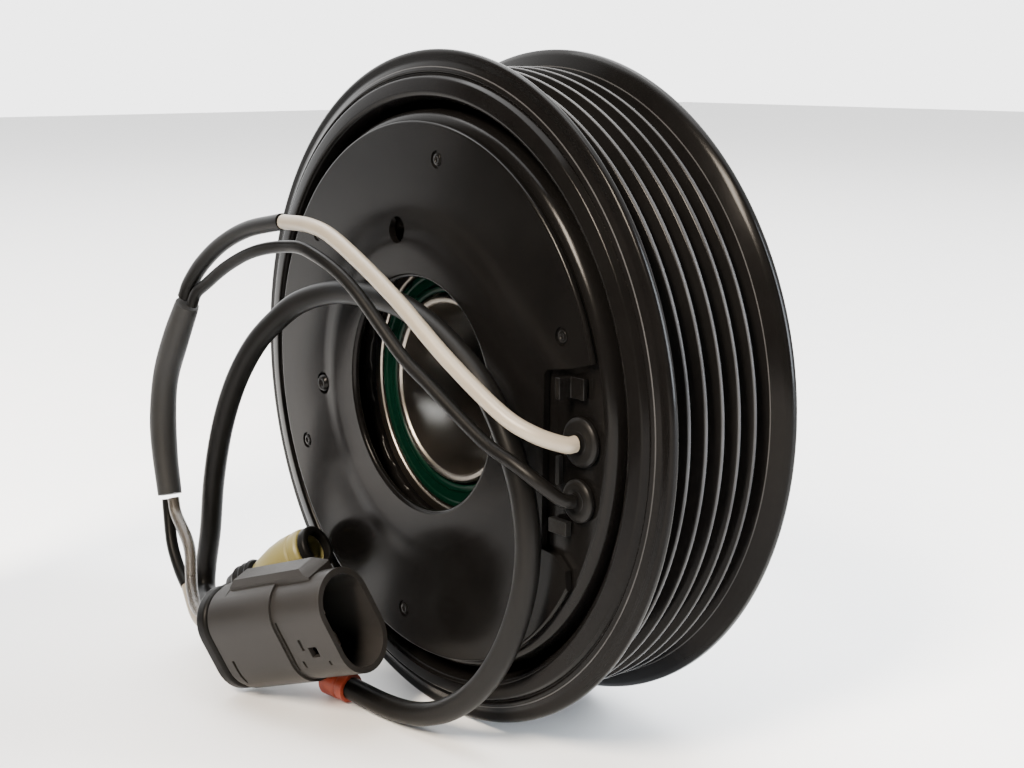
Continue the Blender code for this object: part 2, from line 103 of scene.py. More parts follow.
SOCKET_SEAL_PROFILE = [(0.0, -7.0), (3.0, -7.0), (3.4, -5.0), (3.9, -4.2), (3.4, -3.4),
                       (3.9, -2.6), (3.4, -1.8), (3.9, -1.0), (3.4, -0.3), (0.0, -0.3)]
LEAD_WHITE_R = 1.3
SLEEVE_R = 1.5
LEAD_BLACK_R = 1.1
SHRINK_R = 2.6
TAIL_R = 1.15
TAIL_WHITE_R = 1.05
CABLE_R = 2.1
COLLAR_ENDS = ((-11.3, -25.3, -55.2), (-17.6, -26.3, -55.1))

LEAD_WHITE_ROUTE = [(41.4, -17.7, -0.7), (41.0, -19.6, -0.6), (38.1, -23.2, 1.0),
                    (32.8, -25.4, 3.7), (21.4, -27.0, 10.5), (7.9, -28.2, 19.3),
                    (-6.2, -29.3, 26.6), (-13.4, -29.9, 28.6), (-21.7, -30.5, 28.7)]
SLEEVE_ROUTE = [(-22.0, -30.5, 28.7), (-32.6, -31.4, 26.6), (-41.0, -32.2, 23.3),
                (-47.6, -33.0, 19.0), (-51.7, -33.6, 14.9), (-53.3, -33.9, 12.2)]
LEAD_BLACK_ROUTE = [(41.0, -17.7, -9.8), (40.6, -19.8, -9.2), (38.2, -22.6, -6.4),
                    (34.5, -24.0, -4.2), (27.7, -25.0, -1.6), (15.1, -26.2, 5.4),
                    (8.3, -26.7, 9.2), (-4.9, -27.8, 19.3), (-16.0, -28.9, 23.9),
                    (-23.7, -29.5, 24.1), (-32.1, -30.8, 22.5), (-40.2, -31.8, 19.2),
                    (-46.9, -32.8, 15.2), (-49.5, -33.5, 13.3), (-50.9, -33.8, 10.9)]
SHRINK_ROUTE = [(-52.6, -33.9, 10.9), (-56.5, -34.6, 4.0), (-60.4, -35.2, -4.0),
                (-61.2, -35.8, -11.9), (-59.9, -36.4, -19.2), (-57.3, -37.0, -26.9)]
TAIL_BLACK_ROUTE = [(-58.3, -37.0, -28.1), (-57.4, -37.3, -31.4), (-54.9, -38.1, -36.4),
                    (-51.2, -38.6, -40.4), (-48.1, -38.9, -42.6)]
TAIL_WHITE_ROUTE = [(-47.9, -38.9, -42.8), (-42.0, -40.2, -46.6), (-36.9, -40.5, -47.3),
                    (-33.3, -39.5, -46.1)]
TAIL_CLEAR_ROUTE = [(-55.9, -37.0, -27.4), (-54.4, -37.2, -30.4), (-47.9, -38.0, -35.2),
                    (-42.3, -40.6, -41.6), (-37.6, -41.6, -44.3), (-34.0, -40.6, -43.1)]
CABLE_ROUTE = [(-45.2, -30.0, -44.8), (-47.5, -31.2, -46.3), (-52.0, -31.9, -48.3),
               (-56.0, -30.9, -47.2), (-57.2, -29.9, -42.8), (-55.3, -29.6, -35.0),
               (-53.3, -29.4, -24.2), (-49.9, -29.0, -13.4), (-45.5, -28.2, -4.1),
               (-40.2, -27.0, 3.5), (-34.6, -25.6, 8.8), (-27.7, -23.8, 13.4),
               (-17.0, -22.0, 16.2), (-2.7, -21.3, 16.2), (6.0, -21.2, 14.4),
               (14.3, -21.2, 11.1), (22.3, -21.2, 6.3), (27.4, -21.2, 1.0),
               (30.9, -21.2, -4.8), (33.4, -21.2, -11.0), (34.4, -21.2, -18.5),
               (33.2, -21.4, -26.9), (29.1, -21.6, -36.4), (22.9, -22.0, -44.8),
               (15.3, -22.6, -50.9), (7.3, -23.2, -54.4), (-0.7, -24.0, -55.6),
               (-11.0, -25.3, -55.2)]

record = frame["record"]
BODY_OF = {node: body for body, nodes in record["behaviour"]["bodies"].items() for node in nodes}
SLOT_OF = {part["node"]: part["material_slot"] for part in record["subparts"]}


# ---------------------------------------------------------------- materials

# the colour sockets of a Mix node share their names with its other sockets, so they go by number
MIX_FACTOR, MIX_A, MIX_B, MIX_RESULT = 0, 6, 7, 2
# light grey painted along the rib crests as a painted highlight
CREST_HIGHLIGHT_COLOUR = (0.13, 0.13, 0.135, 1.0)


def shader_node(tree, kind, **inputs):
    node = tree.nodes.new(kind)
    for name, value in inputs.items():
        node.inputs[name.replace("_", " ")].default_value = value
    return node


def crest_highlight_mask(tree, place, noise, highlight_strength):
    """How strong the painted highlight is: only on the rib crests, and uneven along them."""
    link = tree.links.new
    from_axle = tree.nodes.new("ShaderNodeVectorMath")
    from_axle.operation = "MULTIPLY_ADD"
    from_axle.inputs[1].default_value = (1.0, 0.0, 1.0)
    from_axle.inputs[2].default_value = (0.0, 0.0, -RIM_R * MM)
    link(place, from_axle.inputs[0])
    radius = tree.nodes.new("ShaderNodeVectorMath")
    radius.operation = "LENGTH"
    link(from_axle.outputs["Vector"], radius.inputs[0])
    rise = shader_node(tree, "ShaderNodeMapRange", From_Min=(CREST_R - 0.14) * MM,
                       From_Max=(CREST_R - 0.04) * MM, To_Max=highlight_strength)
    fall = shader_node(tree, "ShaderNodeMapRange", From_Min=(CREST_R + 0.05) * MM,
                       From_Max=(CREST_R + 0.1) * MM, To_Min=1.0, To_Max=0.0)
    for band in (rise, fall):
        link(radius.outputs["Value"], band.inputs["Value"])
    both = tree.nodes.new("ShaderNodeMath")
    both.operation = "MULTIPLY"
    link(rise.outputs["Result"], both.inputs[0])
    link(fall.outputs["Result"], both.inputs[1])
    uneven = tree.nodes.new("ShaderNodeMath")
    uneven.operation = "MULTIPLY"
    link(both.outputs["Value"], uneven.inputs[0])
    link(noise, uneven.inputs[1])
    return uneven.outputs["Value"]


def surface(name, colour, roughness, metallic=0.0, grain=400.0, tint=0.15, spread=0.08,
            bump=0.02, highlight_strength=0.0, shine=0.5, stretch=(1.0, 1.0, 1.0), transmission=0.0):
    """Principled surface, mottled and unevenly rough, with a painted highlight along the rib crests if
    it is given one.
    """
    material = bpy.data.materials.new(name)
    material.use_nodes = True
    tree = material.node_tree
    link = tree.links.new
    bsdf = tree.nodes["Principled BSDF"]
    bsdf.inputs["Metallic"].default_value = metallic
    bsdf.inputs["Specular IOR Level"].default_value = shine
    bsdf.inputs["Transmission Weight"].default_value = transmission
    place_in = tree.nodes.new("ShaderNodeTexCoord")
    mapping = shader_node(tree, "ShaderNodeMapping", Scale=stretch)
    link(place_in.outputs["Object"], mapping.inputs["Vector"])
    broad = shader_node(tree, "ShaderNodeTexNoise", Scale=grain * 0.12, Detail=5.0, Roughness=0.6)
    fine = shader_node(tree, "ShaderNodeTexNoise", Scale=grain * 6.0, Detail=3.0, Roughness=0.65)
    for noise in (broad, fine):
        link(mapping.outputs["Vector"], noise.inputs["Vector"])
    shade = tree.nodes.new("ShaderNodeValToRGB")
    shade.color_ramp.elements[0].position = 0.3
    shade.color_ramp.elements[1].position = 0.7
    shade.color_ramp.elements[0].color = (*[c * (1.0 - tint) for c in colour], 1.0)
    shade.color_ramp.elements[1].color = (*[min(1.0, c * (1.0 + tint)) for c in colour], 1.0)
    link(broad.outputs["Fac"], shade.inputs["Fac"])
    colour_out = shade.outputs["Color"]
    if highlight_strength > 0.0:
        # painted highlight: this light grey is mixed into the colour along the rib crests
        crest = crest_highlight_mask(tree, place_in.outputs["Object"], broad.outputs["Fac"], highlight_strength)
        highlight_mix = tree.nodes.new("ShaderNodeMix")
        highlight_mix.data_type = "RGBA"
        highlight_mix.inputs[MIX_B].default_value = CREST_HIGHLIGHT_COLOUR
        link(crest, highlight_mix.inputs[MIX_FACTOR])
        link(colour_out, highlight_mix.inputs[MIX_A])
        colour_out = highlight_mix.outputs[MIX_RESULT]
    link(colour_out, bsdf.inputs["Base Color"])
    rough = shader_node(tree, "ShaderNodeMapRange", From_Min=0.25, From_Max=0.75,
                        To_Min=max(0.03, roughness - spread), To_Max=roughness + spread)
    link(broad.outputs["Fac"], rough.inputs["Value"])
    link(rough.outputs["Result"], bsdf.inputs["Roughness"])
    relief = shader_node(tree, "ShaderNodeBump", Strength=bump, Distance=0.0002)
    link(fine.outputs["Fac"], relief.inputs["Height"])
    link(relief.outputs["Normal"], bsdf.inputs["Normal"])
    return material


MATERIALS = {
    "black_paint": surface("black_paint", (0.0032, 0.003, 0.0029), 0.2, tint=0.25, spread=0.05,
                           bump=0.03, shine=0.08),
    "heatshrink": surface("heatshrink", (0.014, 0.014, 0.0138), 0.62, tint=0.2, bump=0.2,
                          shine=0.3),
    # the rotor's black paint with a painted highlight along its rib crests
    "crest_highlight_paint": surface("crest_highlight_paint", (0.0032, 0.003, 0.0029), 0.18, tint=0.25, spread=0.05,
                          bump=0.02, highlight_strength=0.5, shine=0.055),
    "bearing_steel": surface("bearing_steel", (0.22, 0.2, 0.175), 0.34, metallic=1.0, bump=0.01,
                             tint=0.12, spread=0.06, stretch=(1.0, 0.1, 1.0)),
    "armature_steel": surface("armature_steel", (0.16, 0.16, 0.17), 0.42, metallic=1.0, bump=0.15,
                              tint=0.25),
    "seal_green": surface("seal_green", (0.0006, 0.009, 0.005), 0.3, tint=0.2, bump=0.03, shine=0.12),
    "copper_wire": surface("copper_wire", (0.72, 0.32, 0.14), 0.35, metallic=1.0, bump=0.3,
                           stretch=(1.0, 6.0, 1.0)),
    "coil_resin": surface("coil_resin", (0.006, 0.006, 0.006), 0.5, bump=0.3, shine=0.1),
    "black_rubber": surface("black_rubber", (0.004, 0.0038, 0.0036), 0.42, tint=0.25, bump=0.06,
                            shine=0.1),
    "grey_plastic": surface("grey_plastic", (0.018, 0.0168, 0.016), 0.4, tint=0.12, bump=0.15,
                            grain=700.0, shine=0.15),
    "yellow_plastic": surface("yellow_plastic", (0.19, 0.165, 0.055), 0.42, tint=0.12, bump=0.15),
    "red_plastic": surface("red_plastic", (0.3, 0.04, 0.016), 0.42, tint=0.1, bump=0.15),
    "ivory_wire": surface("ivory_wire", (0.23, 0.2, 0.155), 0.38, tint=0.06, bump=0.08),
    "clear_splice": surface("clear_splice", (0.06, 0.052, 0.043), 0.22, tint=0.6, bump=0.6,
                            transmission=0.25),
}


# ---------------------------------------------------------------- shape helpers

def new_piece(name, data, *nodes, look=None):
    """Puts a piece on its CAD body in place of its nodes, in their slot's material or in look."""
    obj = bpy.data.objects.new(name, data)
    bpy.context.scene.collection.objects.link(obj)
    slot = SLOT_OF[nodes[0]]
    data.materials.clear()
    data.materials.append(MATERIALS[look or slot])
    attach(obj, BODY_OF[nodes[0]])
    return obj


def shown_for(obj, *nodes):
    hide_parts(*nodes)
    return obj


def flatten(obj):
    """Lets each flat face keep its own direction where it meets a small curved one."""
    modifier = obj.modifiers.new("even", "WEIGHTED_NORMAL")
    modifier.keep_sharp = True
    return obj


def soften(mesh, degrees=32.0):
    mesh.shade_smooth()
    mesh.set_sharp_from_angle(angle=math.radians(degrees))


def filleted(profile, radius, steps=3):
    """The closed profile with its corners rounded, by less on short sides."""
    result = []
    count = len(profile)
    for i, point in enumerate(profile):
        here = Vector(point)
        before = Vector(profile[i - 1]) - here
        after = Vector(profile[(i + 1) % count]) - here
        reach = min(radius, 0.42 * before.length, 0.42 * after.length)
        if reach < 0.02 or before.angle(after) > math.radians(172.0):
            result.append(point)
            continue
        start = here + before.normalized() * reach
        end = here + after.normalized() * reach
        for k in range(steps + 1):
            t = k / steps
            bent = start * (1 - t) ** 2 + here * 2 * t * (1 - t) + end * t ** 2
            result.append((bent.x, bent.y))
    return result


def turned_mesh(name, profile, steps, fillet=0.25, centre=(0.0, 0.0)):
    """Mesh turned about a line along Y, from a closed profile of (radius, y) points."""
    points = filleted(profile, fillet) if fillet else profile
    verts = []
    for i in range(steps):
        angle = 2 * math.pi * i / steps
        for radius, y in points:
            verts.append(Vector((centre[0] + radius * math.cos(angle), y,
                                 centre[1] + radius * math.sin(angle))))
    count = len(points)
    faces = []
    for i in range(steps):
        for k in range(count):
            a, b = i * count + k, i * count + (k + 1) % count
            c, d = ((i + 1) % steps) * count + (k + 1) % count, ((i + 1) % steps) * count + k
            faces.append((a, b, c, d))
    mesh = bpy.data.meshes.new(name)
    mesh.from_pydata([(v + CENTRE) * MM for v in verts], [], faces)
    bm = bmesh.new()
    bm.from_mesh(mesh)
    bmesh.ops.remove_doubles(bm, verts=bm.verts, dist=0.000001)
    bmesh.ops.recalc_face_normals(bm, faces=bm.faces)
    bm.to_mesh(mesh)
    bm.free()
    soften(mesh)
    return mesh


def prism_mesh(name, outline, low, high, matrix=None):
    """Mesh between y = low and y = high from an outline of (x, z), in the wheel's frame."""
    bm = bmesh.new()
    ring = [bm.verts.new((x, low, z)) for x, z in outline]
    face = bm.faces.new(ring)
    grown = bmesh.ops.extrude_face_region(bm, geom=[face])
    moved = [v for v in grown["geom"] if isinstance(v, bmesh.types.BMVert)]
    bmesh.ops.translate(bm, vec=(0.0, high - low, 0.0), verts=moved)
    bmesh.ops.recalc_face_normals(bm, faces=bm.faces)
    if matrix is not None:
        bm.transform(matrix)
    bm.transform(Matrix.Scale(MM, 4) @ Matrix.Translation(CENTRE))
    mesh = bpy.data.meshes.new(name)
    bm.to_mesh(mesh)
    bm.free()
    return mesh


def polar(radius, degrees):
    angle = math.radians(degrees)
    return radius * math.cos(angle), radius * math.sin(angle)


def arc_outline(inner, outer, start, end, steps=28):
    angles = [start + (end - start) * i / steps for i in range(steps + 1)]
    return [polar(outer, a) for a in angles] + [polar(inner, a) for a in reversed(angles)]


def circle_outline(x, z, radius, steps=40):
    return [(x + radius * math.cos(2 * math.pi * i / steps),
             z + radius * math.sin(2 * math.pi * i / steps)) for i in range(steps)]


def stadium_outline(half_long, half_short, steps=20):
    straight = half_long - half_short
    points = []
    for side, start in ((1, 0.0), (-1, math.pi)):
        for i in range(steps + 1):
            angle = start + math.pi * i / steps
            points.append((half_short * math.cos(angle),
                           side * straight + half_short * math.sin(angle)))
    return points


def carve(mesh, tools, operation="DIFFERENCE"):
    """The mesh after an exact boolean with each tool mesh."""
    work = bpy.data.objects.new("work", mesh)
    bpy.context.scene.collection.objects.link(work)
    helpers = []
    for tool in tools:
        helper = bpy.data.objects.new("tool", tool)
        bpy.context.scene.collection.objects.link(helper)
        helpers.append(helper)
        modifier = work.modifiers.new("carve", "BOOLEAN")
        modifier.operation = operation
        modifier.solver = "EXACT"
        modifier.object = helper
    graph = bpy.context.evaluated_depsgraph_get()
    result = bpy.data.meshes.new_from_object(work.evaluated_get(graph))
    result.name = mesh.name
    for obj in [work, *helpers]:
        bpy.data.objects.remove(obj, do_unlink=True)
    soften(result)
    return result


def round_edges(obj, width, segments=3, degrees=40.0):
    bevel = obj.modifiers.new("rounded", "BEVEL")
    bevel.width = width * MM
    bevel.segments = segments
    bevel.limit_method = "ANGLE"
    bevel.angle_limit = math.radians(degrees)
    bevel.use_clamp_overlap = True
    obj.data.shade_smooth()
    obj.modifiers.new("even", "WEIGHTED_NORMAL")
    return obj


def turned(node, profile, steps=WHEEL_STEPS, fillet=0.25, centre=(0.0, 0.0)):
    mesh = turned_mesh(f"vis_{node}", profile, steps, fillet, centre)
    return shown_for(new_piece(f"vis_{node}", mesh, node), node)


def axis_frame(origin, x_axis, z_axis):
    x = Vector(x_axis).normalized()
    y = Vector(z_axis).cross(x).normalized()
    matrix = Matrix((x, y, x.cross(y))).transposed().to_4x4()
    matrix.translation = Vector(origin)
    return matrix


QUARTER = Matrix.Rotation(math.pi / 2, 4, "Z")


def along_x(name, outline, start, end, place):
    """Prism mesh of a (y, z) outline from x = start to x = end in the given frame."""
    return prism_mesh(name, outline, -end, -start, place @ QUARTER)


def turned_at(name, profile, place, steps=SMALL_STEPS, fillet=0.12):
    """Turned mesh whose axis is local X of the given frame, from (radius, x) points."""
    mesh = turned_mesh(name, profile, steps, fillet)
    back = Matrix.Scale(MM, 4) @ Matrix.Translation(CENTRE)
    turn = back @ place @ Matrix.Rotation(-math.pi / 2, 4, "Z") @ back.inverted()
    mesh.transform(turn)
    return mesh


def smooth_route(points, per_span=10):
    pts = [Vector(p) for p in points]
    pts = [2 * pts[0] - pts[1]] + pts + [2 * pts[-1] - pts[-2]]
    result = []
    for i in range(1, len(pts) - 2):
        a, b, c, d = pts[i - 1:i + 3]
        for k in range(per_span):
            t = k / per_span
            result.append(0.5 * (2 * b + (c - a) * t + (2 * a - 5 * b + 4 * c - d) * t * t
                                 + (3 * b - a - 3 * c + d) * t ** 3))
    result.append(pts[-2])
    return result


def tube(node, route, radius, swell=None, look=None):
    """Round cord along a route; swell gives the radius factor at a share of its length."""
    points = smooth_route(route)
    curve = bpy.data.curves.new(f"vis_{node}", "CURVE")
    curve.dimensions = "3D"
    curve.bevel_depth = radius * MM
    curve.bevel_resolution = 5
    curve.use_fill_caps = True
    spline = curve.splines.new("POLY")
    spline.points.add(len(points) - 1)
    for i, (slot, point) in enumerate(zip(spline.points, points)):
        slot.co = (*((point + CENTRE) * MM), 1.0)
        if swell:
            slot.radius = swell(i / (len(points) - 1))
    spline.use_smooth = True
    obj = shown_for(new_piece(f"vis_{node}", curve, node, look=look), node)
    return obj, points


# ---------------------------------------------------------------- pulley and bearing

def groove_points():
    points = []
    for i in range(RIB_COUNT):
        centre = (RIB_COUNT - 1) * RIB_PITCH / 2 - i * RIB_PITCH
        half = RIB_PITCH / 2 - CREST_HALF
        points += [(CREST_R, centre + half), (VALLEY_R, centre + CREST_HALF),
                   (VALLEY_R, centre - CREST_HALF), (CREST_R, centre - half)]
    return points


def stake_dents(mesh):
    """Punch marks round the rotor hub's rear rim that hold the bearing."""
    inner, outer = STAKE_BAND
    for vert in mesh.vertices:
        spot = vert.co / MM - CENTRE
        radius = math.hypot(spot.x, spot.z)
        if spot.y < STAKE_FROM_Y and inner < radius < outer:
            wave = math.cos(STAKE_MARKS * math.atan2(spot.z, spot.x))
            vert.co.y += STAKE_DEPTH * MM * max(0.0, wave) ** 2


def build_rotor():
    front = [(49.6, FRICTION_Y), (50.0, 13.3), (54.6, 13.3), (55.4, 14.3), (57.2, 14.1),
             (58.0, 13.3), (58.0, 12.2), (57.2, 11.5)]
    rear = [(57.2, -11.5), (58.0, -12.2), (58.0, -13.2), (57.4, -13.6), (56.1, -13.5),
            (54.4, -14.5), (54.0, -14.1), (53.4, -15.2), (51.0, -15.6), (50.3, -15.3),
            (49.6, -13.6)]
    inside = [(49.6, 9.4), (27.6, 9.4), (27.2, 9.0), (27.2, -11.6), (26.6, -12.2),
              (24.6, -12.2), (23.8, -11.6), (23.8, 11.4), (21.9, 11.4), (21.9, 13.0),
              (30.0, 13.0), (30.6, FRICTION_Y)]
    mesh = turned_mesh("vis_rotor_pulley", front + groove_points() + rear + inside,
                       WHEEL_STEPS, 0.3)
    stake_dents(mesh)
    slots = [prism_mesh("slot", arc_outline(38.6, 41.0, 90.0 * i + 10.0, 90.0 * i + 80.0),
                        8.0, 15.0) for i in range(4)]
    mesh = carve(mesh, slots)
    # the rotor gets the paint with the painted highlight on its rib crests
    shown_for(new_piece("vis_rotor_pulley", mesh, "rotor_pulley", look="crest_highlight_paint"),
              "rotor_pulley")


def ring_profile(outer, inner, half, chamfer):
    return [(outer - chamfer, half), (outer, half - chamfer), (outer, chamfer - half),
            (outer - chamfer, -half), (inner + chamfer, -half), (inner, chamfer - half),
            (inner, half - chamfer), (inner + chamfer, half)]


def build_bearing():
    turned("bearing_inner_ring", ring_profile(RACE_IN_R, BEARING_BORE_R, BEARING_HALF, 0.4),
           fillet=0.15)
    turned("bearing_outer_ring", ring_profile(BEARING_OUTER_R, RACE_OUT_R, BEARING_HALF, 0.3),
           fillet=0.15)
    for node, side in (("seal_rear", -1.0), ("seal_front", 1.0)):
        outside = [(21.05, 9.8), (21.05, 10.6), (20.3, 10.6), (20.0, 10.4), (18.3, 10.4),
                   (18.0, 10.6), (17.3, 10.6), (16.95, 10.3), (16.95, 9.8)]
        turned(node, [(r, side * y) for r, y in outside], fillet=0.12)


# ---------------------------------------------------------------- coil and plate

def build_coil():
    shell = turned_mesh("vis_coil_shell",
                        [(SHELL_R, 8.6), (SHELL_R, -13.6), (47.8, -15.1), (46.6, -16.0),
                         (29.6, -16.0), (28.7, -15.6), (28.4, -14.6), (28.4, 8.6),
                         (30.6, 8.6), (30.6, -14.0), (46.0, -14.0), (46.0, 8.6)],
                        WHEEL_STEPS, 1.1)
    holes = [prism_mesh("hole", circle_outline(x, z, 2.2), -17.0, -13.0)
             for x, z, _ in GROMMETS.values()]
    flatten(shown_for(new_piece("vis_coil_shell", carve(shell, holes), "coil_shell"),
                      "coil_shell"))
    turned("coil_potting", [(45.7, 8.2), (45.7, -13.7), (30.9, -13.7), (30.9, 8.2),
                            (32.9, 8.2), (32.9, -11.0), (43.7, -11.0), (43.7, 8.2)], 96)
    turned("coil_winding", [(43.4, 4.6), (43.4, -10.7), (33.2, -10.7), (33.2, 4.6)], 96)
    turned("coil_cover_ring", [(43.4, 8.2), (43.4, 4.9), (33.2, 4.9), (33.2, 8.2)], 96)


def build_plate():
    profile = [(46.1, PLATE_FRONT_Y), (PLATE_R, -16.6), (PLATE_R, -17.1), (46.1, PLATE_REAR_Y),
               (31.4, PLATE_REAR_Y), (30.2, -17.43), (28.7, -17.55), (27.2, -17.67),
               (26.0, PLATE_BOSS_Y), (20.7, PLATE_BOSS_Y), (PLATE_HOLE_R, -17.3),
               (PLATE_HOLE_R, -16.6), (20.5, PLATE_FRONT_Y)]
    mesh = turned_mesh("vis_mounting_plate", profile, WHEEL_STEPS, 0.2)
    x, z = polar(28.4, 102.0)
    tools = [prism_mesh("notch", PLATE_NOTCH, -19.0, -15.0),
             prism_mesh("hole", circle_outline(x, z, 2.3), -19.0, -15.0),
             prism_mesh("hole", circle_outline(*PIN_XZ, 2.1), -19.0, -15.0)]
    for angle in CLINCH_ANGLES:
        x, z = polar(CLINCH_R, angle)
        tools.append(prism_mesh("clinch", circle_outline(x, z, CLINCH_HOLE_R, 24), -19.0,
                                CLINCH_FLOOR_Y))
    mesh = carve(mesh, tools)
    flatten(shown_for(new_piece("vis_mounting_plate", mesh, "mounting_plate"),
                      "mounting_plate"))
    for i, angle in enumerate(CLINCH_ANGLES):
        button = turned_mesh(f"clinch_button_{i + 1}",
                             [(0.0, -17.1), (1.1, -17.1), (1.0, -17.3), (0.55, -17.38),
                              (0.4, -17.2), (0.0, -17.18)], 20, 0.08, polar(CLINCH_R, angle))
        new_piece(button.name, button, "mounting_plate")


def build_small_fixed():
    turned("anti_rotation_pin", [(0.0, -16.3), (1.6, -16.3), (1.6, -17.4), (1.2, -17.9),
                                 (0.7, -17.9), (0.5, -17.5), (0.0, -17.5)], 40, 0.1, PIN_XZ)
    for node, (x, z, radius) in GROMMETS.items():
        turned(node, [(0.0, -14.2), (1.9, -14.2), (1.9, -16.3), (radius, -16.3),
                      (radius, -17.0), (radius - 0.6, -17.4), (1.9, -17.4), (1.5, -17.15),
                      (0.0, -17.15)], 56, 0.2, (x, z))
    foot = prism_mesh("vis_lead_tab", [(38.6, 6.0), (42.6, 6.0), (42.6, 9.4), (38.6, 9.4)],
                      -17.2, -16.3)
    upright = prism_mesh("up", [(38.6, 6.0), (39.7, 6.0), (39.7, 9.4), (38.6, 9.4)], -19.5, -16.6)
    tab = new_piece("vis_lead_tab", carve(foot, [upright], "UNION"), "lead_tab")
    round_edges(shown_for(tab, "lead_tab"), 0.18)
    for node, outline, rear in (
            ("lead_post", [(36.2, -8.2), (37.0, -8.2), (37.0, -3.6), (36.2, -3.6)], -17.3),
            ("lead_block", [(34.8, -16.0), (39.0, -16.0), (39.0, -13.7), (34.8, -13.7)], -17.5)):
        mesh = prism_mesh(f"vis_{node}", outline, rear, -16.3)
        round_edges(shown_for(new_piece(mesh.name, mesh, node), node), 0.15)


# ---------------------------------------------------------------- hub and armature

def leaf_angle(i):
    return 90.0 + 360.0 / LEAF_COUNT * i


def leaf_outline(start, end, half):
    """Round-ended strip of the given half width between two points."""
    heading = math.atan2(end[1] - start[1], end[0] - start[0])
    points = []
    for centre, first in ((end, heading - math.pi / 2), (start, heading + math.pi / 2)):
        for i in range(19):
            angle = first + math.pi * i / 18
            points.append((centre[0] + half * math.cos(angle),
                           centre[1] + half * math.sin(angle)))
    return points


def build_hub():
    hub = turned_mesh("vis_hub", [(10.0, 22.5), (10.5, 22.0), (10.5, 21.0), (28.0, 21.0),
                                  (28.0, 19.1), (11.0, 19.1), (9.0, 17.0), (9.0, 9.6),
                                  (5.5, 9.6), (5.5, 22.5)], 144, 0.3)
    holes = [prism_mesh("hole", circle_outline(*polar(LEAF_INNER_R, leaf_angle(i)), 2.5),
                        18.0, 22.0) for i in range(LEAF_COUNT)]
    flatten(shown_for(new_piece("vis_hub", carve(hub, holes), "hub"), "hub"))
    for i in range(LEAF_COUNT):
        turned(f"hub_rivet_{i + 1}",
               [(0.0, 22.3), (2.4, 22.3), (3.5, 21.9), (3.8, 21.3), (2.2, 21.3), (2.2, 17.4),
                (3.6, 17.4), (3.6, 16.6), (0.0, 16.6)], 40, 0.2,
               polar(LEAF_INNER_R, leaf_angle(i)))


def build_armature():
    plate = turned_mesh("vis_armature_plate", [(49.6, 17.8), (50.0, 17.4), (50.0, 14.4),
                                               (31.5, 14.4), (31.5, 17.8)], WHEEL_STEPS, 0.2)
    tools = []
    for i in range(LEAF_COUNT):
        inner = polar(LEAF_INNER_R, leaf_angle(i))
        angle = leaf_angle(i) + LEAF_SWEEP
        outer = polar(LEAF_OUTER_R, angle)
        tools.append(prism_mesh("slot", arc_outline(43.8, 45.6, angle + 15, angle + 105), 13, 19))
        tools.append(prism_mesh("hole", circle_outline(*outer, 2.5), 13.0, 19.0))
        node = f"leaf_spring_{i + 1}"
        leaf = prism_mesh(f"vis_{node}", leaf_outline(inner, outer, 5.0), 18.2, 18.7)
        leaf = carve(leaf, [prism_mesh("hole", circle_outline(*inner, 2.6), 17.0, 20.0),
                            prism_mesh("hole", circle_outline(*outer, 2.5), 17.0, 20.0)])
        shown_for(new_piece(f"vis_{node}", leaf, node), node)
        turned(f"armature_rivet_{i + 1}",
               [(0.0, 20.2), (2.3, 20.2), (3.4, 19.8), (3.6, 19.0), (2.2, 19.0), (2.2, 14.8),
                (0.0, 14.8)], 40, 0.2, outer)
    plate = carve(plate, tools)
    flatten(shown_for(new_piece("vis_armature_plate", plate, "armature_plate"),
                      "armature_plate"))


# ---------------------------------------------------------------- plugs

def build_plug():
    """Round-ended plug whose rear is stepped up, with a latch rail along its top."""
    place = axis_frame(PLUG_MOUTH, PLUG_AXIS, PLUG_TALL)
    body = along_x("vis_plug_housing", stadium_outline(9.7, 6.3), -PLUG_LENGTH, 0.0, place)
    step = along_x("step", stadium_outline(10.2, 6.8), -27.6, -12.0, place)
    rail = along_x("rail", PLUG_RAIL, -24.0, -3.6, place)
    wedge = [(-24.5, 12.5), (-22.5, 12.5), (-24.5, 9.5)]
    nose = [(-3.0, 12.5), (-3.0, 9.6), (-7.6, 12.5)]
    body = carve(body, [step, rail], "UNION")
    tools = [along_x("mouth", stadium_outline(8.6, 5.2), -16.0, 2.0, place)]
    tools += [prism_mesh("slope", outline, -3.0, 6.0, place) for outline in (wedge, nose)]
    for low, high, start, end in PLUG_MARKS:
        mark = [(-7.6, low), (-5.9, low), (-5.9, high), (-7.6, high)]
        tools.append(along_x("mark", mark, start, end, place))
    window = [(-7.6, -2.9), (-4.4, -2.9), (-4.4, -0.9), (-7.6, -0.9)]
    tools.append(along_x("window", window, -6.6, -4.6, place))
    housing = new_piece("vis_plug_housing", carve(body, tools), "plug_housing")
    round_edges(shown_for(housing, "plug_housing"), 0.3)
    seal = along_x("vis_plug_rear_seal", stadium_outline(10.0, 6.6),
                   -PLUG_LENGTH - 0.3 - SEAL_LENGTH, -PLUG_LENGTH - 0.3, place)
    seal = new_piece(seal.name, seal, "plug_rear_seal")
    round_edges(shown_for(seal, "plug_rear_seal"), 0.9, 5)
    pieces = [housing, seal]
    for i, z in enumerate((-3.2, 3.2)):
        node = f"plug_terminal_{i + 1}"
        blade = [(-0.4, z - 1.4), (0.4, z - 1.4), (0.4, z + 1.4), (-0.4, z + 1.4)]
        mesh = along_x(f"vis_{node}", blade, -15.7, -6.0, place)
        pieces.append(round_edges(shown_for(new_piece(mesh.name, mesh, node), node), 0.2))
    return pieces


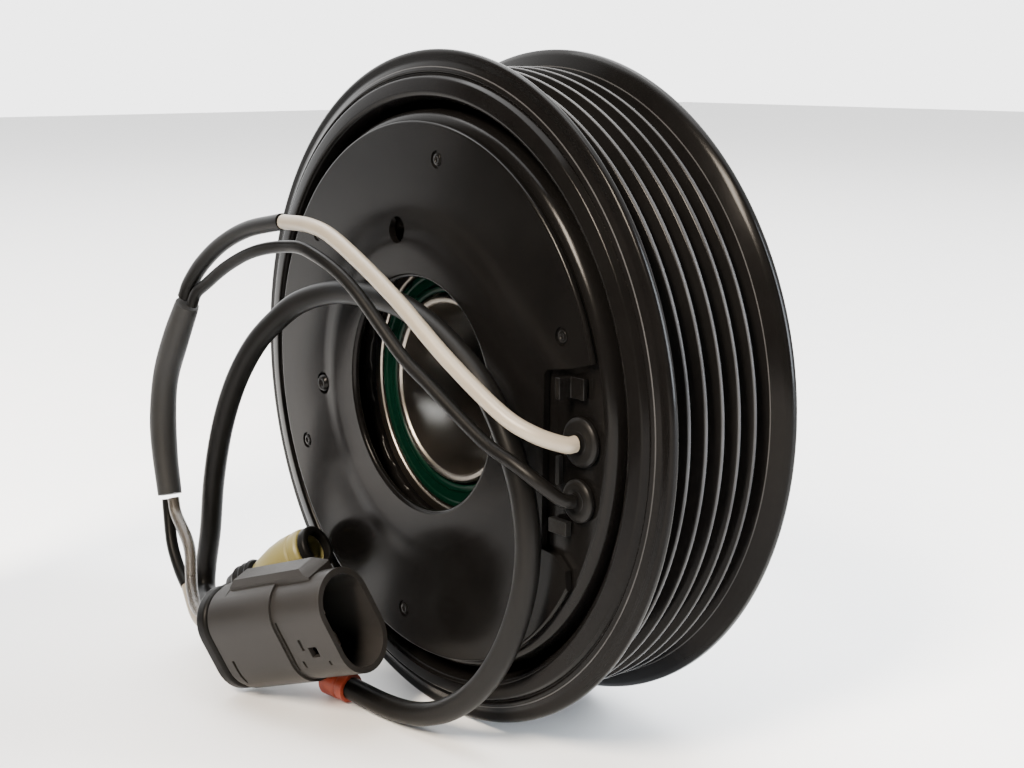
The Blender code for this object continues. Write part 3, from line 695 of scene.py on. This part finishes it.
def build_rear_socket():
    """Turned connector with its end band and ribbed seal."""
    place = axis_frame(SOCKET_REAR, SOCKET_AXIS, (0.0, 0.0, 1.0))
    pieces = []
    for node, profile in (("rear_socket", SOCKET_PROFILE), ("rear_socket_band", BAND_PROFILE),
                          ("rear_socket_seal", SOCKET_SEAL_PROFILE)):
        mesh = turned_at(f"vis_{node}", profile, place, fillet=0.25)
        pieces.append(shown_for(new_piece(mesh.name, mesh, node), node))
    return pieces


def build_collar():
    start, end = (Vector(p) for p in COLLAR_ENDS)
    length = (end - start).length
    place = axis_frame(start, end - start, (0.0, 0.0, 1.0))
    collar = turned_at("vis_cable_collar",
                       [(0.0, 0.0), (2.7, 0.0), (2.7, 1.6), (2.4, 1.8), (2.4, 2.3), (2.7, 2.5),
                        (2.7, length - 0.5), (2.3, length), (0.0, length)], place)
    return shown_for(new_piece(collar.name, collar, "cable_collar"), "cable_collar")


# ---------------------------------------------------------------- cords

def shrink_swell(t):
    """The shrunk tube is fullest over the splices and pinches in at both ends."""
    return 0.9 + 0.1 * math.sin(math.pi * t) ** 0.5 - 0.02 * math.cos(14.0 * t)


def build_cords():
    white = tube("lead_white", LEAD_WHITE_ROUTE, LEAD_WHITE_R)
    sleeve = tube("lead_white_sleeve", SLEEVE_ROUTE, SLEEVE_R)
    black = tube("lead_black", LEAD_BLACK_ROUTE, LEAD_BLACK_R)
    shrink = tube("splice_heatshrink", SHRINK_ROUTE, SHRINK_R, shrink_swell, "heatshrink")
    tail_black = tube("tail_black", TAIL_BLACK_ROUTE, TAIL_R)
    tail_white = tube("tail_white", TAIL_WHITE_ROUTE, TAIL_WHITE_R)
    tail_clear = tube("tail_clear", TAIL_CLEAR_ROUTE, TAIL_R)
    cable = tube("harness_cable", CABLE_ROUTE, CABLE_R)


# ---------------------------------------------------------------- stage

# name, place, (width, height), watts, colour
LAMPS = [
    ("overhead", (-0.3, 0.1, 1.3), (1.2, 1.2), 40.0, (1.0, 1.0, 1.0)),
    ("warm_front", (0.2, -0.62, 0.62), (0.22, 0.3), 30.0, (1.0, 0.86, 0.7)),
    ("window", (0.75, 0.62, 0.42), (0.22, 0.8), 32.0, (0.86, 0.93, 1.0)),
]
BACKDROP_SIDE = (-0.77, 0.61, 0.12)
SKY_BRIGHT = 4.0
SKY_DARK = 0.03
FLAG_DISTANCE = 0.14
FLAG_SPAN = (0.012, 0.3)
FLAG_HEIGHT = (0.004, 0.4)
CAMERA_PLACE = (0.21568, -0.16944, 0.11405)
CAMERA_TURN = 51.62
CAMERA_RISE = 11.67
CAMERA_LENS = 55.05


def build_sky():
    """Light from behind the object, dark on the camera's side; the camera sees plain white."""
    world = bpy.data.worlds.new("studio")
    bpy.context.scene.world = world
    world.use_nodes = True
    tree = world.node_tree
    place_in = tree.nodes.new("ShaderNodeTexCoord")
    side = tree.nodes.new("ShaderNodeVectorMath")
    side.operation = "DOT_PRODUCT"
    side.inputs[1].default_value = BACKDROP_SIDE
    tree.links.new(place_in.outputs["Generated"], side.inputs[0])
    level = shader_node(tree, "ShaderNodeMapRange", From_Min=-0.1, From_Max=0.6,
                        To_Min=SKY_DARK, To_Max=SKY_BRIGHT)
    tree.links.new(side.outputs["Value"], level.inputs["Value"])
    background = tree.nodes["Background"]
    background.inputs["Color"].default_value = (1.0, 1.0, 1.0, 1.0)
    seen = tree.nodes.new("ShaderNodeLightPath")
    shown = tree.nodes.new("ShaderNodeMix")
    shown.inputs["B"].default_value = SKY_BRIGHT
    tree.links.new(seen.outputs["Is Camera Ray"], shown.inputs["Factor"])
    tree.links.new(level.outputs["Result"], shown.inputs["A"])
    tree.links.new(shown.outputs["Result"], background.inputs["Strength"])


def build_flag():
    """Black card, unseen by the camera, that the leads' side of the coil plate mirrors."""
    along, across = Vector((-0.77, -0.61, 0.0)), Vector((0.61, -0.77, 0.0))
    near, far = FLAG_SPAN
    low, high = FLAG_HEIGHT
    corners = [along * FLAG_DISTANCE + across * side + Vector((0.0, 0.0, z))
               for side, z in ((near, low), (far, low), (far, high), (near, high))]
    mesh = bpy.data.meshes.new("flag")
    mesh.from_pydata(corners, [], [(0, 1, 2, 3)])
    mesh.materials.append(surface("flag", (0.004, 0.004, 0.004), 0.8, shine=0.05))
    flag = bpy.data.objects.new("flag", mesh)
    bpy.context.scene.collection.objects.link(flag)
    flag.visible_camera = False


def build_lamps():
    for name, place, size, power, colour in LAMPS:
        lamp = bpy.data.lights.new(name, "AREA")
        lamp.shape = "RECTANGLE"
        lamp.size, lamp.size_y = size
        lamp.energy = power
        lamp.color = colour
        obj = bpy.data.objects.new(name, lamp)
        bpy.context.scene.collection.objects.link(obj)
        obj.location = place
        aim = Vector((0.0, 0.0, RIM_R * MM)) - Vector(place)
        obj.rotation_euler = aim.to_track_quat("-Z", "Y").to_euler()


def build_stage():
    floor_mesh = bpy.data.meshes.new("floor")
    bm = bmesh.new()
    bmesh.ops.create_grid(bm, x_segments=1, y_segments=1, size=3.0)
    bm.to_mesh(floor_mesh)
    bm.free()
    floor = bpy.data.objects.new("floor", floor_mesh)
    bpy.context.scene.collection.objects.link(floor)
    floor.location.z = -0.0002
    floor_mesh.materials.append(surface("floor", (0.86, 0.86, 0.86), 0.6, tint=0.01, bump=0.01))
    build_sky()
    build_flag()
    build_lamps()


def build_camera():
    """Camera low on the coil side, turned towards the leads' side of the wheel."""
    turn, rise = math.radians(CAMERA_TURN), math.radians(CAMERA_RISE)
    back = Vector((math.sin(turn) * math.cos(rise), -math.cos(turn) * math.cos(rise),
                   math.sin(rise)))
    camera_data = bpy.data.cameras.new("camera")
    camera_data.lens = CAMERA_LENS
    camera_data.clip_start = 0.01
    camera = bpy.data.objects.new("camera", camera_data)
    bpy.context.scene.collection.objects.link(camera)
    camera.location = CAMERA_PLACE
    camera.rotation_euler = back.to_track_quat("Z", "Y").to_euler()
    bpy.context.scene.camera = camera


build_camera()
build_rotor()
build_bearing()
build_coil()
build_plate()
build_small_fixed()
build_hub()
build_armature()
plug_pieces = build_plug()
socket_pieces = build_rear_socket()
collar_piece = build_collar()
build_cords()
for node_name in ("ball_row_rear", "ball_row_front"):
    frame["nodes"][node_name].data.materials.clear()
    frame["nodes"][node_name].data.materials.append(MATERIALS["bearing_steel"])
build_stage()
